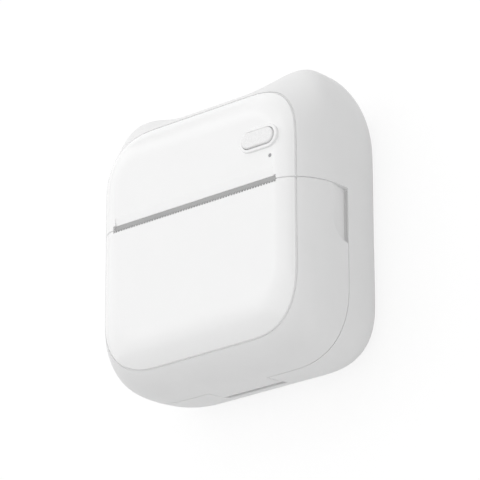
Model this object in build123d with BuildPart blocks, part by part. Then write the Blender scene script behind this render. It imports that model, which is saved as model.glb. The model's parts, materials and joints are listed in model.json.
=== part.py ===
"""A pocket printer for 57 mm paper rolls, lying on its back with the front face up.

X runs to the right, +Y towards the eared end and +Z out of the front face. The origin is under the
middle of the body, on the plane that it rests on. In the comments, rise is the distance from the
lower end towards the ears, and depth is the distance behind the front face.
"""

import os
from math import atan2, cos, degrees, hypot, pi, radians, sin, sqrt, tan

from build123d import *

os.makedirs("parts", exist_ok=True)

# Body
body_width = 78.5
body_length = 79.7  # from the lower end to the valley between the ears
body_thickness = 36.0
ear_height = 6.2
ear_start_x = 5.6  # the ears' curve starts this far from the middle
ear_top_x = 37.8
ear_sharpness = 1.45
ear_start_depth = 4.5
ear_full_depth = 12.3
corner_power = 2.56  # 2 is a circular corner, more is squarer
lower_corner = 20.5
upper_corner = 21.9
front_roll = (11.1, 14.4)  # inset at the front face, and the depth where it ends
front_roll_low = (18.1, 14.9)
front_roll_high = (13.9, 14.3)
rear_roll = (6.8, 20.1)
rear_roll_low = (5.7, 18.2)
rear_roll_high = (17.7, 16.9)
side_wall = 1.8
rear_wall = 1.6
front_wall = 1.3  # behind the glossy panel

# Front panels and the joint between body and door
panel_half_width = 34.2
panel_low = 5.6
panel_high = 74.9
panel_corner = 17.2
panel_thickness = 1.2
bond_gap = 0.05
panel_groove = 0.4
seam = 0.3
door_rise = 46.9  # rise of the seam across the front
door_depth = 18.4  # depth of the seam along the sides
lip_thickness = 0.5  # the door's rim at the hinge, and the depth of the groove round the panels
lip_step = 0.75
lip_margin = 3.0  # how far above the tongue the rim is thin
ledge = 2.0

# Slot and tear bar
slot_length = 58.5
bar_top = 48.0
bar_tip = 46.3
bar_thickness = 0.2
bar_setback = 0.45
bar_corner = 0.6
bar_gap = 0.25
tooth_pitch = 0.96
tooth_depth = 0.7
seat_low = 45.95  # the bar's white seat shows between the teeth
seat_thickness = 0.8
seat_flange = 0.6
seat_reach = 6.0
lap_edge = 0.35  # thickness of the door's panel where it laps over the seat
lap_gap = 0.3
bulkhead_drop = 0.4  # from the bar's top edge down to the bulkhead
slot_clearance = 3.9  # how far behind the front wall the slot stays open
bevel_height = 2.4
bevel_depth = 0.5
bevel_end = 0.6

# Button, collar and light
button_x = 23.8
button_rise = 59.8
button_length = 11.0
button_width = 4.5
button_gap = 0.25
button_travel = 0.5
button_proud = 1.1
button_edge = 0.35
collar_width = 0.85
collar_height = 0.6
flange_overlap = 0.6
flange_gap = 0.55
light_x = 27.6
light_rise = 54.0
light_diameter = 1.0
light_head = 0.85

# Finger notches at the sides of the door
notch_depth = 1.2
notch_step = 0.45  # depth behind the bevel at the front end
notch_bevel = 0.6
notch_reach = 5.8
notch_front = 10.0
notch_rear = 15.7
catch_lip = 0.35  # the housing's edge is undercut behind a notch, for a fingernail
catch_depth = 0.8
catch_inset = 0.6

# Hinge at the lower end
tongue_width = 20.5
tongue_gap = 0.3
knuckle_radius = 2.2
hinge_depth = 24.2
hinge_pin_diameter = 1.6
hinge_boss_width = 4.0
hinge_rear_gap = 0.5
hinge_top_gap = 0.4
boss_relief = 0.2
pin_inset = 0.5
running_gap = 0.05

# Paper
paper_width = 57.0
roll_diameter = 29.0
core_diameter = 12.5
core_wall = 1.0
roll_front_gap = 0.85
roll_rise = 18.8
cradle_length = 23.0
cradle_rim = 8.0  # the trough starts this far behind the roll's axis
cheek_rim = 2.0
cheek_inset = 2.0
cradle_gap = 0.3
cheek_gap = 0.7
cheek_thickness = 1.2

# Platen, head and drive
platen_diameter = 10.0
platen_rise = 40.0
platen_depth = 11.5
platen_overhang = 0.5
platen_core_diameter = 4.0
shaft_diameter = 3.0
bush_diameter = 5.0
paper_gap = 0.15
carrier_plate = 1.0
carrier_boss = 1.45
cheek_radius = 3.8
carrier_gap = 1.3
sheet_gap = 0.4
sheet = 0.8
head_thickness = 0.8
head_inset = (2.2, 1.0)  # from the heat sink's lower and upper edges
sink_reach = (6.0, 6.2)  # from the platen's axis, down and up
sink_thickness = 2.5
sink_end_gap = 1.3
frame_margin = (1.5, 0.2)  # beyond the heat sink, down and up
frame_lead = 1.7  # how far the frame's sides reach ahead of the platen's axis
frame_horn = 4.5
frame_shoulder = 3.5
frame_slope = 1.5
arm_lap = 6.0
arm_margin = 0.5  # beyond the motor
arm_gaps = (0.6, 0.9)  # to the bulkhead and to the floor
slot_play = 0.5
trunnion_inset = 0.1
head_overhang = 0.5
shaft_inset = 0.2
shaft_shoulder = 0.8
bulkhead_inset = 0.5
frame_post_offset = 3.0
trunnion_diameter = 2.0
spring_length = 5.0
spring_gap = 0.3
spring_radius = 1.6
spring_wire = 0.45
spring_turns = 4
spring_x = 20.0
spring_offset = 1.0
gear_module = 0.5
pressure_angle = 25.0
gear_addendum = 0.8
gear_dedendum = 1.1
backlash = 0.15
flank_steps = 4
gear_width = 1.6
gear_gap = 0.3
platen_teeth = 18
idler_teeth = 26
pinion_teeth = 16
pinion_direction = 30.0  # degrees, from the idler towards the ears and the back
motor_diameter = 14.0
motor_length = 12.0
motor_shaft_diameter = 1.5
motor_edge = 0.8
motor_cap = 2.0
axle_diameter = 2.0
axle_head_reach = 0.4
axle_play = 0.3
sensor_x = (8.0, 12.0)
sensor_reach = (0.5, 3.5)
sensor_height = 3.0

# Electronics
board_depth = 8.6
board_thickness = 1.2
board_half_width = 31.0
board_low = 49.6
carrier_step = 3.5  # from the seam up to the carrier
board_high = 72.0
board_corner = 2.0
board_post_x = (-24.0, 19.0)
board_post_inset = 2.45
board_post_depth = 2.0
post_radius = 2.0
frame_post_x = 26.0
frame_post_extra = 0.5
carrier_post_x = 22.0
carrier_post_offset = 2.4
screw_diameter = 1.6
screw_head_diameter = 3.0
screw_head_height = 0.9
frame_screw_length = 6.0
board_screw_length = 4.0
carrier_screw_length = 3.0
battery_left = -15.0
battery_low = 52.5
battery_edge = 1.5
battery_length = 42.0
battery_width = 20.0  # it stands on this side's edge, from the floor towards the board
battery_thickness = 9.0
port_length = 8.94
port_height = 3.2
port_reach = 7.4
port_rise = 64.0
port_gap = 0.3
port_inset = 0.8
port_wall = 0.3
port_floor = 1.0
port_tongue = (0.75, 0.22)  # share of the socket's length and height
switch_plunger = 0.9
switch_plunger_radius = 1.5
switch_body = 3.3
switch_half = 3.0
switch_play = 0.02
chip_height = 1.1
radio_chip_size = (16.0, 8.5)
radio_chip_left = -4.0
motor_chip_side = 7.0
motor_chip_left = -20.0
light_chip_side = 1.6
light_chip_height = 0.7
chip_margin = (1.0, 2.0)  # to the board's upper and lower edges
ribbon_width = 16.0
ribbon_thickness = 0.25
ribbon_bend_radius = 3.0
ribbon_gap = 0.7  # from the heat sink to the middle of the ribbon
ribbon_start_offset = 0.5
socket_size = (18.0, 2.4)
socket_height = 1.5

fuse = 0.2  # how far joined shapes reach into each other


def smoothstep(share):
    share = min(max(share, 0.0), 1.0)
    return share * share * (3 - 2 * share)


def ear_rise(x, rise, depth):
    """How far the ears lift a point of the outline."""
    share = min(max(abs(x) - ear_start_x, 0.0) / (ear_top_x - ear_start_x), 1.0)
    across = ((1 - cos(pi * share)) / 2) ** ear_sharpness
    along = smoothstep((rise / body_length - 0.35) / 0.3)
    behind = smoothstep((depth - ear_start_depth) / (ear_full_depth - ear_start_depth))
    return ear_height * across * along * behind


def corner_points(radius, steps=6):
    """Offsets of a quarter superellipse from its centre, from the X side to the Y side."""
    power = 2 / corner_power
    angles = [pi / 2 * k / steps for k in range(steps + 1)]
    return [(radius * abs(cos(a)) ** power, radius * sin(a) ** power) for a in angles]


def half_outline(half_width, low, high, low_radius, high_radius):
    """The right half of a round-cornered outline, from the middle of the lower edge up."""
    points = [(0, low), ((half_width - low_radius) / 2, low)]
    for x, y in reversed(corner_points(low_radius)):
        points.append((half_width - low_radius + x, low + low_radius - y))
    side_low = low + low_radius
    side_high = high - high_radius
    for k in (1, 2):
        points.append((half_width, side_low + (side_high - side_low) * k / 3))
    for x, y in corner_points(high_radius):
        points.append((half_width - high_radius + x, side_high + y))
    for k in (3, 2, 1, 0):
        points.append(((half_width - high_radius) * k / 4, high))
    return points


def closed_ring(half):
    """Mirrors a half outline into a ring that starts at the middle of the upper edge."""
    left = [(-x, y) for x, y in half[1:-1]]
    return [half[-1]] + left[::-1] + half[:-1]


# The ears rise above body_length, and their peak sets the overall length.
full_half = half_outline(body_width / 2, 0, body_length, lower_corner, upper_corner)
overall_length = max(y + ear_rise(x, y, ear_full_depth) for x, y in full_half)


def at_y(rise):
    return rise - overall_length / 2


def at_z(depth):
    return body_thickness - depth


def roll_inset(roll, wall, face, distance):
    """How far a rounded edge draws in, at a distance from the face that it rolls into."""
    inset = roll[0] - wall
    reach = roll[1] - face
    share = min(max((roll[1] - distance) / reach, 0.0), 1.0)
    return wall + inset * (1 - sqrt(1 - share * share))


def body_ring(depth, wall, front, rear):
    back = body_thickness - depth
    side, low, high = [
        max(roll_inset(at_front, wall, front, depth), roll_inset(at_rear, wall, rear, back))
        for at_front, at_rear in (
            (front_roll, rear_roll),
            (front_roll_low, rear_roll_low),
            (front_roll_high, rear_roll_high),
        )
    ]
    low_radius = lower_corner - (side + low) / 2
    high_radius = upper_corner - (side + high) / 2
    half = half_outline(body_width / 2 - side, low, body_length - high, low_radius, high_radius)
    return closed_ring([(x, at_y(y + ear_rise(x, y, depth))) for x, y in half])


def body_form(wall, front, rear):
    """The body's outer form, drawn in by a wall at the sides, the front and the rear."""
    front_reach = max(front_roll[1], front_roll_low[1], front_roll_high[1]) - front
    rear_reach = max(rear_roll[1], rear_roll_low[1], rear_roll_high[1]) - rear
    front_depths = [front + front_reach * (1 - cos(radians(a))) for a in (0, 10, 20, 32, 45, 60, 75, 90)]
    rear_depths = [body_thickness - rear - rear_reach * (1 - cos(radians(a))) for a in (75, 60, 45, 30, 15, 0)]
    with BuildPart() as form:
        for depth in front_depths + rear_depths:
            with BuildSketch(Plane.XY.offset(at_z(depth))):
                with BuildLine():
                    Spline(*body_ring(depth, wall, front, rear), periodic=True)
                make_face()
        loft()
    return form.part


def panel_prism(grow):
    """The panels' outline, as a prism through the front."""
    half = half_outline(
        panel_half_width + grow, panel_low - grow, panel_high + grow, panel_corner + grow, panel_corner + grow
    )
    with BuildPart() as prism:
        with BuildSketch(Plane.XY.offset(at_z(board_depth))):
            with BuildLine():
                Spline(*closed_ring([(x, at_y(y)) for x, y in half]), periodic=True)
            make_face()
        extrude(amount=2 * board_depth)
    return prism.part


def block(x_range, rise_range, depth_range):
    """A box given by its ranges in X, rise and depth."""
    with BuildPart() as piece:
        with BuildSketch(Plane.XY.offset(at_z(depth_range[1]))):
            with Locations(((x_range[0] + x_range[1]) / 2, at_y((rise_range[0] + rise_range[1]) / 2))):
                Rectangle(x_range[1] - x_range[0], rise_range[1] - rise_range[0])
        extrude(amount=depth_range[1] - depth_range[0])
    return piece.part


def pill(x, rise, length, width, low_z, high_z):
    """A prism with round ends along Z."""
    with BuildPart() as piece:
        with BuildSketch(Plane.XY.offset(low_z)):
            with Locations((x, at_y(rise))):
                SlotOverall(length, width)
        extrude(amount=high_z - low_z)
    return piece.part


def rod(centre, radius, x_range, bore=0.0):
    """A rod or tube along X, centred at a (rise, depth)."""
    with BuildPart() as piece:
        with BuildSketch(Plane.YZ.offset(x_range[0])):
            with Locations((at_y(centre[0]), at_z(centre[1]))):
                Circle(radius)
                if bore:
                    Circle(bore, mode=Mode.SUBTRACT)
        extrude(amount=x_range[1] - x_range[0])
    return piece.part


def posts(places, radius, low_z, high_z):
    """Round posts along Z at (x, rise) places."""
    with BuildPart() as piece:
        with BuildSketch(Plane.XY.offset(low_z)):
            with Locations(*[(x, at_y(rise)) for x, rise in places]):
                Circle(radius)
        extrude(amount=high_z - low_z)
    return piece.part


def side_plate(points, x_range):
    """A flat plate across X, its outline given as (rise, depth) points."""
    with BuildPart() as piece:
        with BuildSketch(Plane.YZ.offset(x_range[0])):
            with BuildLine():
                Polyline(*[(at_y(rise), at_z(depth)) for rise, depth in points], close=True)
            make_face()
        extrude(amount=x_range[1] - x_range[0])
    return piece.part


def gear_profile(teeth, turn=0.0):
    """Involute outline of a gear about its own centre, in the YZ plane, as a list of points."""
    pitch = gear_module * teeth / 2
    base = pitch * cos(radians(pressure_angle))
    tip = pitch + gear_addendum * gear_module
    root = pitch - gear_dedendum * gear_module
    half_tooth = pi / (2 * teeth) - backlash / (4 * pitch)
    spread = tan(radians(pressure_angle)) - radians(pressure_angle)
    start = max(base, root)
    flank = []
    for k in range(flank_steps + 1):
        radius = start + (tip - start) * k / flank_steps
        roll_angle = sqrt(max(radius * radius / (base * base) - 1, 0.0))
        flank.append((radius, half_tooth + spread - (roll_angle - atan2(roll_angle, 1))))
    if root < start:
        flank.insert(0, (root, flank[0][1]))
    points = []
    for tooth in range(teeth):
        middle = turn + 2 * pi * tooth / teeth
        points += [(r * cos(middle - a), r * sin(middle - a)) for r, a in flank]
        points += [(r * cos(middle + a), r * sin(middle + a)) for r, a in reversed(flank)]
    return points


def gear(centre, teeth, bore_radius, turn):
    """A spur gear on an axis along X, between the gear train's two planes."""
    y, z = at_y(centre[0]), at_z(centre[1])
    with BuildPart() as piece:
        with BuildSketch(Plane.YZ.offset(-gear_outside)):
            with BuildLine():
                Polyline(*[(y + dy, z + dz) for dy, dz in gear_profile(teeth, turn)], close=True)
            make_face()
            with Locations((y, z)):
                Circle(bore_radius, mode=Mode.SUBTRACT)
        extrude(amount=gear_width)
    return piece.part


def save(shape, name):
    shape.label = name
    export_step(shape, f"parts/{name}.step")


# Places that follow from the sizes above
front_total = panel_thickness + bond_gap + front_wall
half_paper = paper_width / 2
roll_depth = front_total + roll_front_gap + roll_diameter / 2
roll_axis = (roll_rise, roll_depth)
platen_axis = (platen_rise, platen_depth)
hinge_skin = roll_inset(rear_roll_low, 0, 0, body_thickness - hinge_depth)
hinge_axis = (hinge_skin + knuckle_radius, hinge_depth)
half_tongue = tongue_width / 2
platen_half = half_paper + platen_overhang
carrier_inside = platen_half + carrier_gap
carrier_outside = carrier_inside + cheek_thickness
frame_inside = carrier_outside + sheet_gap
frame_outside = frame_inside + sheet
gear_inside = frame_outside + gear_gap
gear_outside = gear_inside + gear_width

# The platen lifts off at right angles to its arm from the hinge, and the idler lies straight behind it.
arm_rise = platen_rise - hinge_axis[0]
arm_lift = hinge_depth - platen_depth
arm = hypot(arm_rise, arm_lift)
lift_angle = degrees(atan2(arm_rise, -arm_lift))
idler_distance = gear_module * (platen_teeth + idler_teeth) / 2
idler_axis = (
    platen_rise + idler_distance * arm_lift / arm,
    platen_depth + idler_distance * arm_rise / arm,
)
pinion_distance = gear_module * (idler_teeth + pinion_teeth) / 2
pinion_axis = (
    idler_axis[0] + pinion_distance * cos(radians(pinion_direction)),
    idler_axis[1] + pinion_distance * sin(radians(pinion_direction)),
)

# A tooth of the platen gear points at a gap of the idler, and the idler meets the pinion the same way.
to_idler = atan2(-arm_rise, arm_lift)
to_pinion = -radians(pinion_direction)
platen_turn = to_idler
idler_turn = to_idler + pi + pi / idler_teeth
pinion_turn = to_pinion + pi + pi / pinion_teeth - (idler_turn - to_pinion) * idler_teeth / pinion_teeth

nip_depth = platen_depth + platen_diameter / 2
head_depth = nip_depth + paper_gap
sink_depth = head_depth + head_thickness + bond_gap
sink_back = sink_depth + sink_thickness
frame_back = sink_back + spring_gap + spring_length
sink_low = platen_rise - sink_reach[0]
sink_high = platen_rise + sink_reach[1]
pivot_axis = (sink_low + trunnion_diameter / 2, (sink_depth + sink_back) / 2)
floor_depth = body_thickness - rear_wall

# The body's forms: its skin, the hollow inside, and the layers that the glossy panels fill
skin = body_form(0, 0, 0)
hollow = body_form(side_wall, front_total, rear_wall)
pocket_floor = body_form(panel_thickness + bond_gap, panel_thickness + bond_gap, rear_wall)
panel_back = body_form(panel_thickness, panel_thickness, rear_wall)
inner_form = body_form(side_wall + bond_gap, front_total + bond_gap, rear_wall + bond_gap)
lip_form = body_form(lip_thickness, lip_thickness, lip_thickness)

far = body_width
above_seam = block((-far, far), (door_rise + seam / 2, far * 2), (-far, far))
body_cut = block((-far, far), (-far, door_rise + seam / 2), (-far, door_depth + seam / 2))
door_keep = block((-far, far), (-far, door_rise - seam / 2), (-far, door_depth - seam / 2))

half_bar = slot_length / 2
half_slot = half_bar + bar_gap
slot_rear = front_total + slot_clearance
seat_front = bar_setback + bar_thickness
bulkhead_low = bar_top - bulkhead_drop
bulkhead_high = bulkhead_low + cheek_thickness
slot_in_body = block((-half_slot, half_slot), (bar_tip, bar_top + bar_gap / 2), (-far, front_total + seam))
slot_in_door = block((-half_slot, half_slot), (bar_tip - bar_gap, bar_top), (-far, slot_rear))
slot_lap = block((-half_slot, half_slot), (seat_low - lap_gap, bar_top), (lap_edge, slot_rear))

panel_outline = panel_prism(0)
panel_seat = panel_prism(bond_gap)
groove_outline = panel_prism(panel_groove)
carrier_outline = panel_prism(-ledge)
carrier_hole = panel_prism(-ledge + bond_gap * 2)

with BuildPart() as groove:
    add(groove_outline)
    add(lip_form, mode=Mode.SUBTRACT)

with BuildPart() as panel_pocket:
    add(panel_seat)
    add(pocket_floor, mode=Mode.SUBTRACT)
    add(groove.part)

# Holes that the button and the light pass through
button_hole = pill(
    button_x,
    button_rise,
    button_length + 2 * button_gap,
    button_width + 2 * button_gap,
    at_z(board_depth),
    body_thickness + far,
)
light_hole = posts([(light_x, light_rise)], light_diameter / 2 + running_gap, at_z(board_depth), far)

# Hinge
tongue_high = hinge_axis[0] + knuckle_radius + hinge_top_gap
tongue_keep = block((-half_tongue, half_tongue), (-far, tongue_high), (door_depth - seam, hinge_depth))
notch_half = half_tongue + tongue_gap
tongue_notch = block(
    (-notch_half, notch_half),
    (-far, tongue_high),
    (door_depth - seam, hinge_depth + knuckle_radius + hinge_rear_gap),
)
boss_radius = knuckle_radius - boss_relief
boss_end = notch_half + hinge_boss_width
pin_end = boss_end - pin_inset
boss_right = rod(hinge_axis, boss_radius, (notch_half, boss_end))
boss_left = rod(hinge_axis, boss_radius, (-boss_end, -notch_half))
pin_shape = rod(hinge_axis, hinge_pin_diameter / 2, (-pin_end, pin_end))
knuckle = rod(hinge_axis, knuckle_radius, (-half_tongue, half_tongue))
knuckle_bore = rod(hinge_axis, hinge_pin_diameter / 2 + running_gap, (-far, far))

# The rim of the door is thinner at the hinge, so that its inner edge clears the body as it swings.
rim_depth = door_depth - seam / 2
rim_zone = block((-far, far), (-far, tongue_high + lip_margin), (rim_depth - lip_step, far))
tongue_guard = block((-half_tongue, half_tongue), (-far, far), (0, far))
with BuildPart() as rim_relief:
    add(lip_form)
    add(rim_zone, mode=Mode.INTERSECT)
    add(tongue_guard, mode=Mode.SUBTRACT)

# A finger notch has a bevelled front edge and deepens towards the rear, under an outline seen from the side.
half_width = body_width / 2
notch_low_front = door_rise - notch_front
notch_low_rear = door_rise - notch_rear
notch_start = door_depth - notch_reach
notch_profile = [
    (half_width - notch_depth, door_depth + 1),
    (half_width - notch_depth, door_depth),
    (half_width - notch_step, notch_start + notch_bevel),
    (half_width, notch_start),
    (far, notch_start),
    (far, door_depth + 1),
]
with BuildPart() as finger_notch:
    with BuildSketch(Plane.YZ.offset(half_width - 2 * notch_depth)):
        with BuildLine():
            corner = (at_y(door_rise + 1), at_z(door_depth))
            front_top = (at_y(door_rise + 1), at_z(notch_start))
            front_end = (at_y(notch_low_front), at_z(notch_start))
            rear_end = (at_y(notch_low_rear), at_z(door_depth))
            Polyline(rear_end, corner, front_top, front_end)
            EllipticalCenterArc(
                (at_y(notch_low_front), at_z(door_depth)),
                notch_rear - notch_front,
                notch_reach,
                start_angle=90,
                arc_size=90,
            )
        make_face()
    extrude(amount=far)
    with BuildSketch(Plane.XZ.offset(-far)):
        with BuildLine():
            Polyline(*[(x, at_z(depth)) for x, depth in notch_profile], close=True)
        make_face()
    extrude(amount=2 * far, mode=Mode.INTERSECT)
finger_notch_left = mirror(finger_notch.part, about=Plane.YZ)
nail_catch = block(
    (half_width - notch_depth, half_width - catch_lip),
    (notch_low_rear + catch_inset, door_rise - catch_inset),
    (door_depth, door_depth + seam / 2 + catch_depth),
)
nail_catch_left = mirror(nail_catch, about=Plane.YZ)

# Screws and posts at (x, rise)
frame_posts = [(side * frame_post_x, sink_low + frame_post_offset) for side in (-1, 1)]
carrier_post_rises = (platen_rise - carrier_post_offset, platen_rise + carrier_post_offset)
carrier_posts = [(side * carrier_post_x, rise) for side in (-1, 1) for rise in carrier_post_rises]
board_post_rises = (board_low + board_post_inset, board_high - board_post_inset)
board_posts = [(x, rise) for x in board_post_x for rise in board_post_rises]


def screws(places, bearing_depth, length, towards_back):
    """Screws along Z with round heads, their heads bearing at a depth."""
    turn = -1 if towards_back else 1
    head_z = at_z(bearing_depth)
    head_top = head_z - turn * screw_head_height
    upright = (Align.CENTER, Align.CENTER, Align.MIN)
    with BuildPart() as piece:
        with Locations(*[(x, at_y(rise), head_z) for x, rise in places]):
            Cylinder(screw_diameter / 2, length, align=upright, rotation=(90 - 90 * turn, 0, 0))
            Cylinder(screw_head_diameter / 2, screw_head_height, align=upright, rotation=(90 + 90 * turn, 0, 0))
        with Locations(*[(x, at_y(rise), head_top) for x, rise in places]):
            Cylinder(screw_diameter / 3, screw_head_height, mode=Mode.SUBTRACT)
    return piece.part


# Paper bay
roll_radius = roll_diameter / 2
cradle_low = rear_roll_low[0] + fuse * 3
cradle_high = cradle_low + cradle_length
cradle_inside = half_paper + cheek_gap
cradle_outside = cradle_inside + cheek_thickness
cradle_front = roll_depth + cradle_rim
cradle_block = block((-cradle_outside, cradle_outside), (cradle_low, cradle_high), (cradle_front, floor_depth))
cheek_depths = (roll_depth + cheek_rim, cradle_front + fuse)
cheek_rises = (cradle_low + cheek_inset, cradle_high - cheek_inset)
cheek_right = block((cradle_inside, cradle_outside), cheek_rises, cheek_depths)
cheek_left = block((-cradle_outside, -cradle_inside), cheek_rises, cheek_depths)
roll_space = rod(roll_axis, roll_radius + cradle_gap, (-cradle_inside, cradle_inside))

with BuildPart() as roll_cradle:
    add(cradle_block)
    add(cheek_right)
    add(cheek_left)
    add(roll_space, mode=Mode.SUBTRACT)
    add(inner_form, mode=Mode.INTERSECT)
save(roll_cradle.part, "roll_cradle")

save(rod(roll_axis, roll_radius, (-half_paper, half_paper), core_diameter / 2), "paper_roll")
save(rod(roll_axis, core_diameter / 2, (-half_paper, half_paper), core_diameter / 2 - core_wall), "roll_core")

# Main housing
frame_mount = frame_back + sheet
frame_post_shape = posts(frame_posts, post_radius + frame_post_extra, rear_wall - fuse, at_z(frame_mount))
frame_screw_shape = screws(frame_posts, frame_back, frame_screw_length, True)
board_back = board_depth + board_thickness
port_centre = (at_y(port_rise), at_z(board_back + port_height / 2))
carrier_low = door_rise + carrier_step
carrier_zone = block((-far, far), (carrier_low - bond_gap * 2, far * 2), (-far, board_depth))
with BuildPart() as carrier_opening:
    add(carrier_hole)
    add(carrier_zone, mode=Mode.INTERSECT)

with BuildPart() as port_hole:
    with BuildSketch(Plane.YZ.offset(-far)):
        with Locations(port_centre):
            SlotOverall(port_length + 2 * port_gap, port_height + 2 * port_gap)
    extrude(amount=far - half_width + 2 * side_wall)

with BuildPart() as main_housing:
    add(skin)
    add(hollow, mode=Mode.SUBTRACT)
    add(body_cut, mode=Mode.SUBTRACT)
    add(panel_pocket.part, mode=Mode.SUBTRACT)
    add(carrier_opening.part, mode=Mode.SUBTRACT)
    add(slot_in_body, mode=Mode.SUBTRACT)
    add(tongue_notch, mode=Mode.SUBTRACT)
    add(port_hole.part, mode=Mode.SUBTRACT)
    add(nail_catch, mode=Mode.SUBTRACT)
    add(nail_catch_left, mode=Mode.SUBTRACT)
    add(boss_right)
    add(boss_left)
    add(pin_shape, mode=Mode.SUBTRACT)
    add(frame_post_shape)
    add(frame_screw_shape, mode=Mode.SUBTRACT)
save(main_housing.part, "main_housing")
save(pin_shape, "hinge_pin")
save(frame_screw_shape, "frame_screws")

# Upper front panel with the collar and the bevel over the slot
with BuildPart() as bevel_wedge:
    with BuildSketch(Plane.YZ.offset(bevel_end - half_bar)):
        with BuildLine():
            Polyline(
                (at_y(bar_top - 1), at_z(-1)),
                (at_y(bar_top - 1), at_z(bevel_depth)),
                (at_y(bar_top), at_z(bevel_depth)),
                (at_y(bar_top + bevel_height), at_z(0)),
                (at_y(bar_top + bevel_height), at_z(-1)),
                close=True,
            )
        make_face()
    extrude(amount=slot_length - 2 * bevel_end)

collar_length = button_length + 2 * button_gap + 2 * collar_width
collar_breadth = button_width + 2 * button_gap + 2 * collar_width
with BuildPart() as collar:
    with BuildSketch(Plane.XY.offset(at_z(panel_thickness - bond_gap))):
        with Locations((button_x, at_y(button_rise))):
            SlotOverall(collar_length, collar_breadth)
    extrude(amount=panel_thickness - bond_gap + collar_height)
    fillet(collar.faces().sort_by(Axis.Z)[-1].edges(), collar_width / 3)

with BuildPart() as upper_front_panel:
    add(skin)
    add(panel_back, mode=Mode.SUBTRACT)
    add(panel_outline, mode=Mode.INTERSECT)
    add(above_seam, mode=Mode.INTERSECT)
    add(bevel_wedge.part, mode=Mode.SUBTRACT)
    add(slot_in_body, mode=Mode.SUBTRACT)
    add(collar.part)
    add(button_hole, mode=Mode.SUBTRACT)
    add(light_hole, mode=Mode.SUBTRACT)
save(upper_front_panel.part, "upper_front_panel")

# Carrier behind the upper panel, with the posts for the board
board_post_shape = posts(board_posts, post_radius, at_z(board_depth), at_z(board_post_depth))
board_screw_shape = screws(board_posts, board_back, board_screw_length, False)
carrier_keep = block((-far, far), (carrier_low, far * 2), (-far, board_depth))
with BuildPart() as post_stock:
    add(board_post_shape)
    add(pocket_floor, mode=Mode.INTERSECT)

with BuildPart() as upper_panel_carrier:
    add(pocket_floor)
    add(hollow, mode=Mode.SUBTRACT)
    add(carrier_outline, mode=Mode.INTERSECT)
    add(carrier_keep, mode=Mode.INTERSECT)
    add(post_stock.part)
    add(button_hole, mode=Mode.SUBTRACT)
    add(light_hole, mode=Mode.SUBTRACT)
    add(board_screw_shape, mode=Mode.SUBTRACT)
save(upper_panel_carrier.part, "upper_panel_carrier")
save(board_screw_shape, "board_screws")

# Button
flange_depth = front_total + flange_gap
stem_depth = board_depth - switch_body - switch_plunger - button_travel - switch_play
cap = pill(button_x, button_rise, button_length, button_width, at_z(flange_depth + fuse), at_z(-button_proud))
flange = pill(
    button_x,
    button_rise,
    button_length + 2 * (button_gap + flange_overlap),
    button_width + 2 * (button_gap + flange_overlap),
    at_z(flange_depth + flange_overlap),
    at_z(flange_depth),
)
stem = posts([(button_x, button_rise)], post_radius, at_z(stem_depth), at_z(flange_depth + fuse))
with BuildPart() as power_button:
    add(cap)
    fillet(power_button.faces().sort_by(Axis.Z)[-1].edges(), button_edge)
    add(flange)
    add(stem)
save(power_button.part, "power_button")

# Light pipe
lens_places = [(light_x, light_rise)]
lens_front = posts(lens_places, light_diameter / 2, at_z(front_total + fuse), at_z(0))
lens_step = front_total + light_head
lens_end = board_depth - light_chip_height - switch_body / 6
lens_head = posts(lens_places, light_diameter, at_z(lens_step), at_z(front_total + bond_gap))
lens_tail = posts(lens_places, light_diameter * 0.7, at_z(lens_end), at_z(lens_step - fuse))
with BuildPart() as status_light_pipe:
    add(lens_front)
    add(lens_head)
    add(lens_tail)
save(status_light_pipe.part, "status_light_pipe")

# Board and what stands on it
board_blank = block((-board_half_width, board_half_width), (board_low, board_high), (board_depth, board_back))
with BuildPart() as main_board:
    add(board_blank)
    fillet(main_board.edges().filter_by(Axis.Z), board_corner)
    add(board_screw_shape, mode=Mode.SUBTRACT)
save(main_board.part, "main_board")

plunger_top = at_z(board_depth - switch_body - switch_plunger)
switch_block = block(
    (button_x - switch_half, button_x + switch_half),
    (button_rise - switch_half, button_rise + switch_half),
    (board_depth - switch_body, board_depth),
)
plunger = posts([(button_x, button_rise)], switch_plunger_radius, at_z(board_depth - fuse), plunger_top)
with BuildPart() as button_switch:
    add(switch_block)
    add(plunger)
save(button_switch.part, "button_switch")

port_mouth = -half_width + port_inset
with BuildPart() as charging_port:
    with BuildSketch(Plane.YZ.offset(port_mouth)):
        with Locations(port_centre):
            SlotOverall(port_length, port_height)
    extrude(amount=port_reach)
    with BuildSketch(Plane.YZ.offset(port_mouth)):
        with Locations(port_centre):
            SlotOverall(port_length - 2 * port_wall, port_height - 2 * port_wall)
    extrude(amount=port_reach - port_floor, mode=Mode.SUBTRACT)
    with BuildSketch(Plane.YZ.offset(port_mouth + port_gap * 2)):
        with Locations(port_centre):
            Rectangle(port_length * port_tongue[0], port_height * port_tongue[1])
    extrude(amount=port_reach - port_floor)
save(charging_port.part, "charging_port")

chip_depths = (board_back, board_back + chip_height)
radio_high = board_high - chip_margin[0]
radio_chip = block(
    (radio_chip_left, radio_chip_left + radio_chip_size[0]), (radio_high - radio_chip_size[1], radio_high), chip_depths
)
motor_chip_low = board_low + chip_margin[1]
motor_chip = block(
    (motor_chip_left, motor_chip_left + motor_chip_side),
    (motor_chip_low, motor_chip_low + motor_chip_side),
    chip_depths,
)
light_chip = block(
    (light_x - light_chip_side / 2, light_x + light_chip_side / 2),
    (light_rise - light_chip_side / 2, light_rise + light_chip_side / 2),
    (board_depth - light_chip_height, board_depth),
)
with BuildPart() as board_chips:
    add(radio_chip)
    add(motor_chip)
    add(light_chip)
save(board_chips.part, "board_chips")

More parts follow.
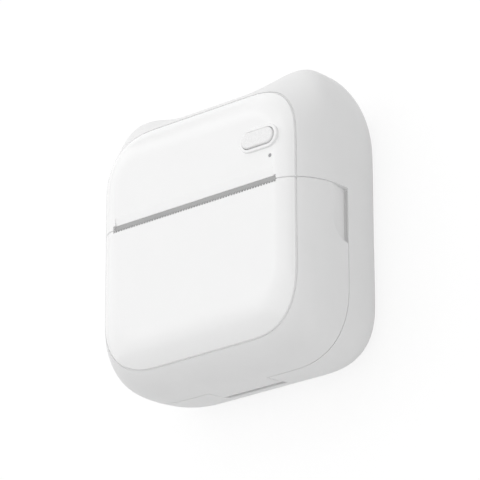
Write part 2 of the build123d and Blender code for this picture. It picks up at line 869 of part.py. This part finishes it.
ribbon_x = ribbon_width / 2
ribbon_rise = board_low + socket_size[1] / 2
socket_depth = board_back + socket_height
socket_block = block(
    (ribbon_x - socket_size[0] / 2, ribbon_x + socket_size[0] / 2),
    (board_low, board_low + socket_size[1]),
    (board_back, socket_depth),
)
with BuildPart() as ribbon_socket:
    add(socket_block)
save(ribbon_socket.part, "ribbon_socket")

ribbon_depth = sink_back + ribbon_gap
ribbon_start = (at_y(platen_rise + ribbon_start_offset), at_z(ribbon_depth))
ribbon_bend = (at_y(ribbon_rise), at_z(ribbon_depth))
ribbon_end = (at_y(ribbon_rise), at_z(socket_depth))
with BuildPart() as head_ribbon:
    with BuildLine(Plane.YZ.offset(ribbon_x)) as ribbon_path:
        FilletPolyline(ribbon_start, ribbon_bend, ribbon_end, radius=ribbon_bend_radius)
    with BuildSketch(Plane(origin=ribbon_path.line @ 0, x_dir=(1, 0, 0), z_dir=ribbon_path.line % 0)):
        Rectangle(ribbon_width, ribbon_thickness)
    sweep(path=ribbon_path.line)
save(head_ribbon.part, "head_ribbon")

battery_blank = block(
    (battery_left, battery_left + battery_length),
    (battery_low, battery_low + battery_thickness),
    (floor_depth - battery_width, floor_depth),
)
with BuildPart() as battery:
    add(battery_blank)
    fillet(battery.edges().filter_by(Axis.X), battery_edge)
save(battery.part, "battery")

# Bulkhead between the paper bay and the electronics
bulkhead_rear = sink_back - bulkhead_inset
bulkhead_zone = block((-far, far), (bulkhead_low, bulkhead_high), (0, bulkhead_rear))
idler_radius = gear_module * idler_teeth / 2
gear_notch = block((-far, fuse - frame_inside), (0, far), (idler_axis[1] - idler_radius, far))
with BuildPart() as bay_bulkhead:
    add(inner_form)
    add(bulkhead_zone, mode=Mode.INTERSECT)
    add(gear_notch, mode=Mode.SUBTRACT)
save(bay_bulkhead.part, "bay_bulkhead")

# Tear bar, a toothed strip on a seat that shows between its teeth
tooth_count = round(slot_length / tooth_pitch)
tooth_step = slot_length / tooth_count
tooth_root = at_y(bar_tip + tooth_depth)
with BuildPart() as tear_bar:
    with BuildSketch(Plane.XY.offset(at_z(seat_front))):
        with BuildLine():
            teeth = [(-half_bar, tooth_root)]
            for k in range(tooth_count):
                left = tooth_step * k - half_bar
                teeth.append((left + tooth_step / 2, at_y(bar_tip)))
                teeth.append((left + tooth_step, tooth_root))
            Polyline(*teeth, (half_bar, at_y(bar_top)), (-half_bar, at_y(bar_top)), close=True)
        make_face()
    extrude(amount=bar_thickness)
    top_corners = tear_bar.edges().filter_by(Axis.Z).group_by(Axis.Y)[-1]
    fillet(top_corners, bar_corner)
save(tear_bar.part, "tear_bar")

seat_plate = block((-half_bar, half_bar), (seat_low, bar_top), (seat_front, seat_front + seat_thickness))
seat_ledge = block((-half_bar, half_bar), (bulkhead_low - seat_flange, bulkhead_low), (seat_front, seat_reach))
with BuildPart() as tear_bar_seat:
    add(seat_plate)
    add(seat_ledge)
save(tear_bar_seat.part, "tear_bar_seat")

# Head frame, a bent sheet that carries the head, the idler and the motor
frame_low = sink_low - frame_margin[0]
frame_high = sink_high + frame_margin[1]
frame_front = platen_depth - frame_lead
plate_points = [
    (frame_low, frame_mount),
    (frame_low, pivot_axis[1] - frame_shoulder),
    (platen_rise - frame_horn, frame_front),
    (platen_rise + frame_horn, frame_front),
    (frame_high, nip_depth - frame_slope),
    (frame_high, frame_mount),
]
plate_left = side_plate(plate_points, (-frame_outside, -frame_inside))
plate_right = side_plate(plate_points, (frame_inside, frame_outside))
plate_back = block((-frame_outside, frame_outside), (frame_low, frame_high - 1), (frame_back, frame_mount))
motor_arm = block(
    (-frame_outside, -frame_inside),
    (frame_high - arm_lap, pinion_axis[0] + motor_diameter / 2 + arm_margin),
    (bulkhead_rear + arm_gaps[0], floor_depth - arm_gaps[1]),
)
pivot_bore = rod(pivot_axis, trunnion_diameter / 2 + running_gap, (-far, far))
motor_bore = rod(pinion_axis, motor_shaft_diameter / 2 + seam, (-far, -frame_inside + fuse))
axle_end = -gear_outside - axle_play
axle_shape = rod(idler_axis, axle_diameter / 2, (axle_end, -frame_inside))
axle_head = rod(idler_axis, axle_diameter / 2 + axle_head_reach, (axle_end - axle_head_reach, axle_end))
slot_radius = shaft_diameter / 2 + slot_play
with BuildPart() as shaft_slot:
    with BuildSketch(Plane.YZ.offset(-far)):
        with Locations(Location((at_y(platen_rise), at_z(platen_depth), 0), (0, 0, lift_angle))):
            Circle(slot_radius)
            Rectangle(platen_diameter, 2 * slot_radius, align=(Align.MIN, Align.CENTER))
    extrude(amount=2 * far)

with BuildPart() as head_frame:
    add(plate_left)
    add(plate_right)
    add(plate_back)
    add(motor_arm)
    add(pivot_bore, mode=Mode.SUBTRACT)
    add(motor_bore, mode=Mode.SUBTRACT)
    add(axle_shape, mode=Mode.SUBTRACT)
    add(shaft_slot.part, mode=Mode.SUBTRACT)
    add(frame_screw_shape, mode=Mode.SUBTRACT)
save(head_frame.part, "head_frame")

with BuildPart() as idler_axle:
    add(axle_shape)
    add(axle_head)
save(idler_axle.part, "idler_axle")

# Print head
sink_half = frame_inside - sink_end_gap
trunnion_end = frame_outside - trunnion_inset
sink_block = block((-sink_half, sink_half), (sink_low, sink_high), (sink_depth, sink_back))
trunnion_right = rod(pivot_axis, trunnion_diameter / 2, (sink_half - fuse, trunnion_end))
trunnion_left = rod(pivot_axis, trunnion_diameter / 2, (-trunnion_end, fuse - sink_half))
with BuildPart() as head_heat_sink:
    add(sink_block)
    add(trunnion_right)
    add(trunnion_left)
save(head_heat_sink.part, "head_heat_sink")

head_half = platen_half + head_overhang
head_rises = (sink_low + head_inset[0], sink_high - head_inset[1])
print_head = block((-head_half, head_half), head_rises, (head_depth, head_depth + head_thickness))
save(print_head, "print_head")

spring_rise = platen_rise + spring_offset
coil_radius = spring_radius - spring_wire / 2
coil_height = spring_length - spring_wire
with BuildPart() as head_springs:
    for side in (-1, 1):
        base = (side * spring_x, at_y(spring_rise), at_z(frame_back) + spring_wire / 2)
        with BuildLine(Plane(origin=base)) as coil:
            Helix(coil_height / spring_turns, coil_height, coil_radius)
        with BuildSketch(Plane(origin=coil.line @ 0, z_dir=coil.line % 0)):
            Circle(spring_wire / 2)
        sweep(path=coil.line, is_frenet=True)
save(head_springs.part, "head_springs")

sensor_rises = (frame_low + sensor_reach[0], frame_low + sensor_reach[1])
sensor_block = block(sensor_x, sensor_rises, (frame_back - sensor_height, frame_back))
with BuildPart() as paper_sensor:
    add(sensor_block)
save(paper_sensor.part, "paper_sensor")

# Motor and gears
motor_back = -frame_inside + motor_length
motor_can = rod(pinion_axis, motor_diameter / 2, (-frame_inside, motor_back))
motor_inner = rod(pinion_axis, motor_shaft_diameter / 2 + running_gap, (-frame_outside, motor_back - motor_cap))
shaft_ends = (-gear_outside - shaft_inset, motor_back - motor_cap - shaft_inset)
motor_shaft_shape = rod(pinion_axis, motor_shaft_diameter / 2, shaft_ends)
with BuildPart() as feed_motor:
    add(motor_can)
    fillet(feed_motor.edges().group_by(Axis.X)[-1], motor_edge)
    add(motor_inner, mode=Mode.SUBTRACT)
save(feed_motor.part, "feed_motor")
save(motor_shaft_shape, "motor_shaft")
save(gear(pinion_axis, pinion_teeth, motor_shaft_diameter / 2, pinion_turn), "motor_pinion")
save(gear(idler_axis, idler_teeth, axle_diameter / 2 + running_gap, idler_turn), "idler_gear")
save(gear(platen_axis, platen_teeth, shaft_diameter / 2, platen_turn), "platen_gear")

# Platen
shaft_thin = rod(platen_axis, shaft_diameter / 2, (-gear_outside, frame_outside - shaft_inset))
thick_end = platen_half + shaft_shoulder
shaft_thick = rod(platen_axis, platen_core_diameter / 2, (-thick_end, thick_end))
with BuildPart() as platen_shaft:
    add(shaft_thin)
    add(shaft_thick)
save(platen_shaft.part, "platen_shaft")
platen_sleeve = rod(platen_axis, platen_diameter / 2, (-platen_half, platen_half), platen_core_diameter / 2)
save(platen_sleeve, "platen_roller")

bush_bore = shaft_diameter / 2 + running_gap
bush_right = rod(platen_axis, bush_diameter / 2, (carrier_inside, carrier_outside), bush_bore)
bush_left = rod(platen_axis, bush_diameter / 2, (-carrier_outside, -carrier_inside), bush_bore)
with BuildPart() as platen_bushes:
    add(bush_right)
    add(bush_left)
save(platen_bushes.part, "platen_bushes")

# Platen carrier, screwed to bosses inside the door
carrier_front = front_total + carrier_boss
carrier_rises = (platen_rise - cheek_radius, platen_rise + cheek_radius)
carrier_sheet = block((-carrier_outside, carrier_outside), carrier_rises, (carrier_front, carrier_front + carrier_plate))
carrier_screw_shape = screws(carrier_posts, carrier_front + carrier_plate, carrier_screw_length, False)
cheeks = []
for side in (-1, 1):
    span = sorted((side * carrier_inside, side * carrier_outside))
    cheeks.append(block(span, carrier_rises, (carrier_front, platen_depth)))
    cheeks.append(rod(platen_axis, cheek_radius, span))
bush_seat = rod(platen_axis, bush_diameter / 2, (-far, far))
with BuildPart() as platen_carrier:
    add(carrier_sheet)
    add(cheeks)
    add(bush_seat, mode=Mode.SUBTRACT)
    add(carrier_screw_shape, mode=Mode.SUBTRACT)
save(platen_carrier.part, "platen_carrier")
save(carrier_screw_shape, "carrier_screws")

# Door
carrier_post_shape = posts(carrier_posts, post_radius, at_z(carrier_front), at_z(front_total - fuse))
with BuildPart() as door_bounds:
    add(door_keep)
    add(tongue_keep)

with BuildPart() as door_shell:
    add(skin)
    add(hollow, mode=Mode.SUBTRACT)
    add(door_bounds.part, mode=Mode.INTERSECT)
    add(panel_pocket.part, mode=Mode.SUBTRACT)
    add(slot_in_door, mode=Mode.SUBTRACT)
    add(slot_lap, mode=Mode.SUBTRACT)
    add(finger_notch.part, mode=Mode.SUBTRACT)
    add(finger_notch_left, mode=Mode.SUBTRACT)
    add(rim_relief.part, mode=Mode.SUBTRACT)
    add(knuckle)
    add(knuckle_bore, mode=Mode.SUBTRACT)
    add(carrier_post_shape)
    add(carrier_screw_shape, mode=Mode.SUBTRACT)
save(door_shell.part, "door_shell")

with BuildPart() as door_front_panel:
    add(skin)
    add(panel_back, mode=Mode.SUBTRACT)
    add(panel_outline, mode=Mode.INTERSECT)
    add(door_keep, mode=Mode.INTERSECT)
    add(slot_in_door, mode=Mode.SUBTRACT)
    add(slot_lap, mode=Mode.SUBTRACT)
save(door_front_panel.part, "door_front_panel")
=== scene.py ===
"""The looks of the pocket printer: materials, lights, floor and the photograph's camera."""

import json
from math import cos, radians, sin

import bpy
from mathutils import Matrix, Vector


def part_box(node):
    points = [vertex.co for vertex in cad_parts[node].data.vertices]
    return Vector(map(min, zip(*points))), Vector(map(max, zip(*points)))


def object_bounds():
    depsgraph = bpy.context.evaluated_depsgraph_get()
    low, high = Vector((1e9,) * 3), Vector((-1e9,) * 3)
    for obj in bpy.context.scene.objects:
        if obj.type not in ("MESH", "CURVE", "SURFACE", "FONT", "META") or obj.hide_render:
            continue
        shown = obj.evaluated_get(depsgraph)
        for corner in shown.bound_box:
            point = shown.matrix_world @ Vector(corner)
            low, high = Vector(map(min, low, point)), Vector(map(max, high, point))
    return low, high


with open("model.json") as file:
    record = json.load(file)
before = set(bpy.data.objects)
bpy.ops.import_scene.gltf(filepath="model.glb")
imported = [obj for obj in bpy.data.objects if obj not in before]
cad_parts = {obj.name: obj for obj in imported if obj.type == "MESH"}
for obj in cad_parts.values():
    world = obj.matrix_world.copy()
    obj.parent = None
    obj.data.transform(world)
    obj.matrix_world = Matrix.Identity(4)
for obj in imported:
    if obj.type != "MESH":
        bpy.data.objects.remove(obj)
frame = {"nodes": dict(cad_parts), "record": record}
nodes = frame["nodes"]
cad_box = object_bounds()

MM = 0.001

# The photograph's camera, given for the printer standing on its lower end. The angles are in degrees.
VIEW_AZIMUTH = 41.0
VIEW_ELEVATION = -20.76
VIEW_ROLL = -0.2
VIEW_DISTANCE = 925.6 * MM
VIEW_TARGET = Vector((0.0, 18.0, 40.0)) * MM  # right, behind the front face, above the lower end
VIEW_SHIFT = Vector((0.99, 1.81)) * MM  # the camera's own offset to its right and up
FOCAL_PIXELS = 3380.0
PHOTO_PIXELS = 480.0
SENSOR = 36.0
CLIP_NEAR = 0.05
CLIP_FAR = 20.0

# Light. To the camera the floor glows and keeps a faint shadow; to the object it is a pale grey.
FLOOR_HALF = 3.0
FLOOR_TONE = 0.8
FLOOR_GLOW = 0.82
FLOOR_SHADOW = 0.2
WORLD_LIGHT = 0.49

# The lamps by name, place and size in metres, and power in watts
LAMPS = (
    ("key", (-0.05, 1.0, 0.6), 1.6, 4.9),
    ("side_fill", (-0.9, 0.3, 0.6), 1.2, 3.6),
    ("overhead", (-0.1, 0.1, 1.2), 1.4, 4.6),
    ("low_fill", (0.8, -0.8, 0.2), 1.0, 3.3),
)

# Painted light: narrow gaps and creases in the white plastic glow white, lifting their shade, where
# walls stand closer than the reach, in mm
PAINTED_GLOW_REACH = 0.6
PAINTED_GLOW_LEVEL = 0.12
PAINTED_GLOW_SAMPLES = 8

NOISE_RANGE = (0.3, 0.7)  # where most of the noise lies
NOISE_DETAIL = 2.0
COARSE_NOISE = 120.0  # per metre
BEVEL_SAMPLES = 6
WHITE = (1.0, 1.0, 1.0, 1.0)

# Display values from 0 to 1
WHITE_SATIN = 0.915
WHITE_GLOSS = 0.955
BUTTON_WHITE = 0.935
BAR_GREY = 0.66

METAL = {"Metallic": 1.0}

# The material of each slot that needs no pattern. tone and dark are display values, rough is a range,
# grain and blotch are per metre, relief and edge are in mm.
PLAIN_LOOKS = {
    # The satin and gloss whites glow in their narrow gaps: painted light that lifts the shade there
    "matte_white": dict(
        name="satin_white", tone=(WHITE_SATIN,), dark=(WHITE_SATIN - 0.006,), rough=(0.42, 0.52),
        grain=5200.0, relief=0.004, edge=0.16, inputs={"Specular IOR Level": 0.4}, painted_gap_glow=True,
    ),
    "gloss_white": dict(
        name="gloss_white", tone=(WHITE_GLOSS,), dark=(WHITE_GLOSS - 0.003,), rough=(0.2, 0.24),
        grain=420.0, relief=0.002, edge=0.14, inputs={"Coat Weight": 0.15, "Coat Roughness": 0.08},
        painted_gap_glow=True,
    ),
    "button_white": dict(
        name="button_white", tone=(BUTTON_WHITE,), dark=(BUTTON_WHITE - 0.004,), rough=(0.24, 0.3),
        grain=2600.0, relief=0.0005, edge=0.1,
    ),
    "grey_plastic": dict(
        name="grey_bar", tone=(BAR_GREY,), dark=(BAR_GREY - 0.02,), rough=(0.34, 0.46),
        grain=3800.0, relief=0.004, edge=0.05,
    ),
    "inner_plastic": dict(
        name="inner_plastic", tone=(0.82, 0.825, 0.83), dark=(0.8, 0.805, 0.81), rough=(0.5, 0.62),
        grain=4200.0, relief=0.006, edge=0.1,
    ),
    "clear_plastic": dict(
        name="smoked_pipe", tone=(0.66, 0.66, 0.67), dark=(0.63, 0.63, 0.64), rough=(0.1, 0.16),
        grain=1500.0, relief=0.001, inputs={"Transmission Weight": 0.1},
    ),
    "gear_plastic": dict(
        name="acetal", tone=(0.93, 0.92, 0.88), dark=(0.91, 0.9, 0.86), rough=(0.34, 0.44),
        grain=2400.0, relief=0.004,
    ),
    "platen_rubber": dict(
        name="rubber", tone=(0.17,), dark=(0.145,), rough=(0.62, 0.8),
        grain=3600.0, relief=0.01, edge=0.15, inputs={"Specular IOR Level": 0.35},
    ),
    "steel": dict(
        name="brushed_steel", tone=(0.72, 0.725, 0.73), dark=(0.64, 0.645, 0.65), rough=(0.22, 0.38),
        grain=1800.0, relief=0.003, stretch=(0.06, 1.0, 1.0), edge=0.06, inputs=METAL,
    ),
    "sheet_steel": dict(
        name="sheet_steel", tone=(0.74, 0.745, 0.74), dark=(0.66, 0.665, 0.67), rough=(0.26, 0.4),
        grain=900.0, relief=0.004, blotch=380.0, edge=0.06, inputs=METAL,
    ),
    "head_aluminium": dict(
        name="aluminium", tone=(0.82, 0.825, 0.83), dark=(0.75, 0.755, 0.76), rough=(0.26, 0.4),
        grain=2200.0, relief=0.003, stretch=(0.05, 1.0, 1.0), edge=0.08, inputs=METAL,
    ),
    "head_ceramic": dict(
        name="head_ceramic", tone=(0.33, 0.27, 0.23), dark=(0.29, 0.23, 0.2), rough=(0.1, 0.18),
        grain=2000.0, relief=0.001,
    ),
    "chip_black": dict(
        name="chip_black", tone=(0.13,), dark=(0.11,), rough=(0.5, 0.64),
        grain=5200.0, relief=0.004, edge=0.08,
    ),
    "connector": dict(
        name="nylon", tone=(0.9, 0.88, 0.8), dark=(0.87, 0.85, 0.77), rough=(0.4, 0.5),
        grain=2600.0, relief=0.004,
    ),
    "battery_foil": dict(
        name="battery_foil", tone=(0.78, 0.785, 0.79), dark=(0.7, 0.705, 0.71), rough=(0.3, 0.46),
        grain=320.0, relief=0.05, blotch=160.0, inputs=METAL,
    ),
    "core_card": dict(
        name="core_card", tone=(0.72, 0.61, 0.45), dark=(0.64, 0.53, 0.38), rough=(0.74, 0.88),
        grain=2400.0, relief=0.02, blotch=500.0,
    ),
}


def linear(value):
    """A display value as scene-linear light, by the sRGB curve."""
    return value / 12.92 if value <= 0.04045 else ((value + 0.055) / 1.055) ** 2.4


def colour(red, green=None, blue=None):
    """A socket's colour from display values, grey where only one is given."""
    channels = (red, red if green is None else green, red if blue is None else blue)
    return tuple(linear(c) for c in channels) + (1.0,)


class NodeTree:
    """A short way to write a node tree."""

    def __init__(self, tree):
        self.tree = tree
        tree.nodes.clear()

    def add(self, kind, **values):
        node = self.tree.nodes.new(kind)
        for key, value in values.items():
            setattr(node, key, value)
        return node

    def link(self, source, target):
        self.tree.links.new(source, target)


def fill(node, values):
    """Sets inputs of a node by their names."""
    for socket, value in values.items():
        node.inputs[socket].default_value = value


def new_material(name):
    material = bpy.data.materials.new(name)
    material.use_nodes = True
    tree = NodeTree(material.node_tree)
    output = tree.add("ShaderNodeOutputMaterial")
    shader = tree.add("ShaderNodeBsdfPrincipled")
    tree.link(shader.outputs["BSDF"], output.inputs["Surface"])
    return material, tree, shader


def noise(tree, scale, stretch=(1.0, 1.0, 1.0)):
    """Noise in the object's own metres, stretched along an axis where asked."""
    place = tree.add("ShaderNodeTexCoord")
    mapping = tree.add("ShaderNodeMapping")
    texture = tree.add("ShaderNodeTexNoise")
    fill(mapping, {"Scale": stretch})
    fill(texture, {"Scale": scale, "Detail": NOISE_DETAIL})
    tree.link(place.outputs["Object"], mapping.inputs["Vector"])
    tree.link(mapping.outputs["Vector"], texture.inputs["Vector"])
    return texture.outputs["Fac"]


def map_range(tree, source, old, new):
    """Maps a value from one range onto another."""
    node = tree.add("ShaderNodeMapRange")
    fill(node, {"From Min": old[0], "From Max": old[1], "To Min": new[0], "To Max": new[1]})
    tree.link(source, node.inputs["Value"])
    return node.outputs["Result"]


def two_tone(tree, source, first, second):
    mix = tree.add("ShaderNodeMix", data_type="RGBA")
    colour_in = [s for s in mix.inputs if s.type == "RGBA"]
    colour_in[0].default_value = first
    colour_in[1].default_value = second
    tree.link(source, mix.inputs["Factor"])
    return [s for s in mix.outputs if s.type == "RGBA"][0]


def emboss(tree, shader, source, relief, edge=0.0):
    """Bumps the surface by a pattern, and softens its edges where asked."""
    bump = tree.add("ShaderNodeBump")
    fill(bump, {"Strength": 1.0, "Distance": relief * MM})
    tree.link(source, bump.inputs["Height"])
    if edge:
        rounding = tree.add("ShaderNodeBevel", samples=BEVEL_SAMPLES)
        fill(rounding, {"Radius": edge * MM})
        tree.link(rounding.outputs["Normal"], bump.inputs["Normal"])
    tree.link(bump.outputs["Normal"], shader.inputs["Normal"])


def add_painted_gap_glow(tree, shader):
    """Painted light: a little white glow where other walls stand closer than the reach, lifting the
    shade in gaps and creases.
    """
    nearness = tree.add("ShaderNodeAmbientOcclusion", samples=PAINTED_GLOW_SAMPLES)
    fill(nearness, {"Distance": PAINTED_GLOW_REACH * MM})
    strength = map_range(tree, nearness.outputs["AO"], (0.0, 1.0), (PAINTED_GLOW_LEVEL, 0.0))
    fill(shader, {"Emission Color": WHITE})
    tree.link(strength, shader.inputs["Emission Strength"])


def surface(
    name, tone, dark, rough, grain, relief,
    blotch=COARSE_NOISE, stretch=(1.0, 1.0, 1.0), edge=0.0, inputs=None, painted_gap_glow=False,
):
    """A material whose colour, roughness and relief vary: blotch is coarse and grain is fine."""
    material, tree, shader = new_material(name)
    coarse = map_range(tree, noise(tree, blotch, stretch), NOISE_RANGE, (0.0, 1.0))
    fine = noise(tree, grain, stretch)
    tree.link(two_tone(tree, coarse, colour(*dark), colour(*tone)), shader.inputs["Base Color"])
    tree.link(map_range(tree, fine, NOISE_RANGE, rough), shader.inputs["Roughness"])
    emboss(tree, shader, fine, relief, edge)
    fill(shader, inputs or {})
    # Painted light: narrow gaps and creases glow, lifting their shade
    if painted_gap_glow:
        add_painted_gap_glow(tree, shader)
    return material


def board_green():
    """Solder mask with faint tracks under it."""
    material, tree, shader = new_material("board_green")
    place = tree.add("ShaderNodeTexCoord")
    tracks = tree.add("ShaderNodeTexBrick")
    fill(tracks, {
        "Scale": 260.0,
        "Mortar Size": 0.03,
        "Color1": colour(0.09, 0.33, 0.2),
        "Color2": colour(0.1, 0.36, 0.22),
        "Mortar": colour(0.2, 0.47, 0.3),
    })
    tree.link(place.outputs["Object"], tracks.inputs["Vector"])
    tree.link(tracks.outputs["Color"], shader.inputs["Base Color"])
    rough = map_range(tree, noise(tree, scale=1500.0), NOISE_RANGE, (0.22, 0.34))
    tree.link(rough, shader.inputs["Roughness"])
    emboss(tree, shader, tracks.outputs["Fac"], relief=0.02)
    return material


def ribbon_film():
    """Amber film over side-by-side copper tracks."""
    material, tree, shader = new_material("ribbon_film")
    place = tree.add("ShaderNodeTexCoord")
    stripes = tree.add("ShaderNodeTexWave", wave_type="BANDS", bands_direction="X")
    fill(stripes, {"Scale": 200.0})
    tree.link(place.outputs["Object"], stripes.inputs["Vector"])
    tone = two_tone(tree, stripes.outputs["Fac"], colour(0.62, 0.36, 0.14), colour(0.8, 0.56, 0.26))
    tree.link(tone, shader.inputs["Base Color"])
    rough = map_range(tree, noise(tree, scale=900.0), NOISE_RANGE, (0.2, 0.34))
    tree.link(rough, shader.inputs["Roughness"])
    return material


def rolled_paper():
    """White coated paper, its layers showing as fine rings round the roll's axis."""
    low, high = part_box("paper_roll")
    centre = (Vector(low) + Vector(high)) / 2
    material, tree, shader = new_material("rolled_paper")
    place = tree.add("ShaderNodeTexCoord")
    mapping = tree.add("ShaderNodeMapping", vector_type="POINT")
    rings = tree.add("ShaderNodeTexWave", wave_type="RINGS", rings_direction="X")
    fill(mapping, {"Location": -centre})
    fill(rings, {"Scale": 420.0, "Distortion": 0.6})
    tree.link(place.outputs["Object"], mapping.inputs["Vector"])
    tree.link(mapping.outputs["Vector"], rings.inputs["Vector"])
    tone = two_tone(tree, rings.outputs["Fac"], colour(0.88, 0.875, 0.86), colour(0.95, 0.945, 0.935))
    tree.link(tone, shader.inputs["Base Color"])
    rough = map_range(tree, noise(tree, scale=2600.0), NOISE_RANGE, (0.5, 0.62))
    tree.link(rough, shader.inputs["Roughness"])
    emboss(tree, shader, rings.outputs["Fac"], relief=0.01)
    return material


PATTERNED_LOOKS = {"board_green": board_green, "ribbon": ribbon_film, "thermal_paper": rolled_paper}


def material_of(slot):
    if slot in PATTERNED_LOOKS:
        return PATTERNED_LOOKS[slot]()
    return surface(**PLAIN_LOOKS[slot])


def dress_nodes():
    """Gives every CAD node the material of its slot."""
    made = {}
    for entry in frame["record"]["subparts"]:
        slot = entry["material_slot"]
        if slot not in made:
            made[slot] = material_of(slot)
        piece = nodes[entry["node"]]
        piece.data.materials.clear()
        piece.data.materials.append(made[slot])


def add_camera():
    """Puts the camera where the photograph was taken from."""
    azimuth, elevation, roll = radians(VIEW_AZIMUTH), radians(VIEW_ELEVATION), radians(VIEW_ROLL)
    back = Vector((sin(azimuth) * cos(elevation), -cos(azimuth) * cos(elevation), sin(elevation)))
    level = Vector((cos(azimuth), sin(azimuth), 0.0))
    rise = back.cross(level)
    right = level * cos(roll) + rise * sin(roll)
    up = rise * cos(roll) - level * sin(roll)
    place = VIEW_TARGET + back * VIEW_DISTANCE + right * VIEW_SHIFT.x + up * VIEW_SHIFT.y

    # From the printer standing on its lower end to the printer lying on its back
    lower_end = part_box("main_housing")[0][1]
    front_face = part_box("door_front_panel")[1][2]
    lay_down = Matrix(((1, 0, 0), (0, 0, 1), (0, -1, 0)))
    columns = [lay_down @ v for v in (right, up, back)]
    spot = lay_down @ place + Vector((0.0, lower_end, front_face))

    data = bpy.data.cameras.new("photo_camera")
    data.sensor_width = SENSOR
    data.lens = SENSOR * FOCAL_PIXELS / PHOTO_PIXELS
    data.clip_start = CLIP_NEAR
    data.clip_end = CLIP_FAR
    camera = bpy.data.objects.new("photo_camera", data)
    camera.matrix_world = Matrix.Translation(spot) @ Matrix(columns).transposed().to_4x4()
    bpy.context.scene.collection.objects.link(camera)
    bpy.context.scene.camera = camera


def seen_rays(tree):
    """1 for rays from the camera, and for those by way of gloss or glass."""
    path = tree.add("ShaderNodeLightPath")
    first = tree.add("ShaderNodeMath", operation="MAXIMUM")
    second = tree.add("ShaderNodeMath", operation="MAXIMUM")
    tree.link(path.outputs["Is Camera Ray"], first.inputs[0])
    tree.link(path.outputs["Is Glossy Ray"], first.inputs[1])
    tree.link(first.outputs[0], second.inputs[0])
    tree.link(path.outputs["Is Transmission Ray"], second.inputs[1])
    return second.outputs[0]


def add_floor():
    """A pale floor that shows white to the camera and keeps a faint shadow of the object."""
    mesh = bpy.data.meshes.new("floor")
    half = FLOOR_HALF
    corners = [(-half, -half, 0), (half, -half, 0), (half, half, 0), (-half, half, 0)]
    mesh.from_pydata(corners, [], [(0, 1, 2, 3)])
    floor = bpy.data.objects.new("floor", mesh)
    bpy.context.scene.collection.objects.link(floor)
    material = bpy.data.materials.new("floor_paper")
    material.use_nodes = True
    tree = NodeTree(material.node_tree)
    output = tree.add("ShaderNodeOutputMaterial")
    diffuse = tree.add("ShaderNodeBsdfDiffuse")
    fill(diffuse, {"Color": (FLOOR_TONE, FLOOR_TONE, FLOOR_TONE, 1.0)})
    soft = tree.add("ShaderNodeBsdfDiffuse")
    fill(soft, {"Color": (FLOOR_SHADOW, FLOOR_SHADOW, FLOOR_SHADOW, 1.0)})
    glow = tree.add("ShaderNodeEmission")
    fill(glow, {"Strength": FLOOR_GLOW})
    bright = tree.add("ShaderNodeAddShader")
    tree.link(soft.outputs[0], bright.inputs[0])
    tree.link(glow.outputs[0], bright.inputs[1])
    choose = tree.add("ShaderNodeMixShader")
    tree.link(seen_rays(tree), choose.inputs["Fac"])
    tree.link(diffuse.outputs[0], choose.inputs[1])
    tree.link(bright.outputs[0], choose.inputs[2])
    tree.link(choose.outputs[0], output.inputs["Surface"])
    mesh.materials.append(material)


def add_world():
    """Soft light from all round, which the camera sees as plain white."""
    world = bpy.data.worlds.new("studio")
    bpy.context.scene.world = world
    world.use_nodes = True
    tree = NodeTree(world.node_tree)
    output = tree.add("ShaderNodeOutputWorld")
    light = tree.add("ShaderNodeBackground")
    fill(light, {"Color": WHITE, "Strength": WORLD_LIGHT})
    seen = tree.add("ShaderNodeBackground")
    fill(seen, {"Color": WHITE, "Strength": 1.0})
    choose = tree.add("ShaderNodeMixShader")
    path = tree.add("ShaderNodeLightPath")
    tree.link(path.outputs["Is Camera Ray"], choose.inputs["Fac"])
    tree.link(light.outputs[0], choose.inputs[1])
    tree.link(seen.outputs[0], choose.inputs[2])
    tree.link(choose.outputs[0], output.inputs["Surface"])


def add_softbox(name, place, size, power):
    """A square area lamp aimed at the middle of the object."""
    data = bpy.data.lights.new(name, "AREA")
    data.shape = "SQUARE"
    data.size = size
    data.energy = power
    lamp = bpy.data.objects.new(name, data)
    aim = (cad_box[0][2] + cad_box[1][2]) / 2
    direction = Vector((0.0, 0.0, aim)) - Vector(place)
    lamp.rotation_euler = direction.to_track_quat("-Z", "Y").to_euler()
    lamp.location = place
    bpy.context.scene.collection.objects.link(lamp)


bpy.context.scene.view_settings.view_transform = "Standard"
dress_nodes()
add_floor()
add_world()
for lamp in LAMPS:
    add_softbox(*lamp)
add_camera()
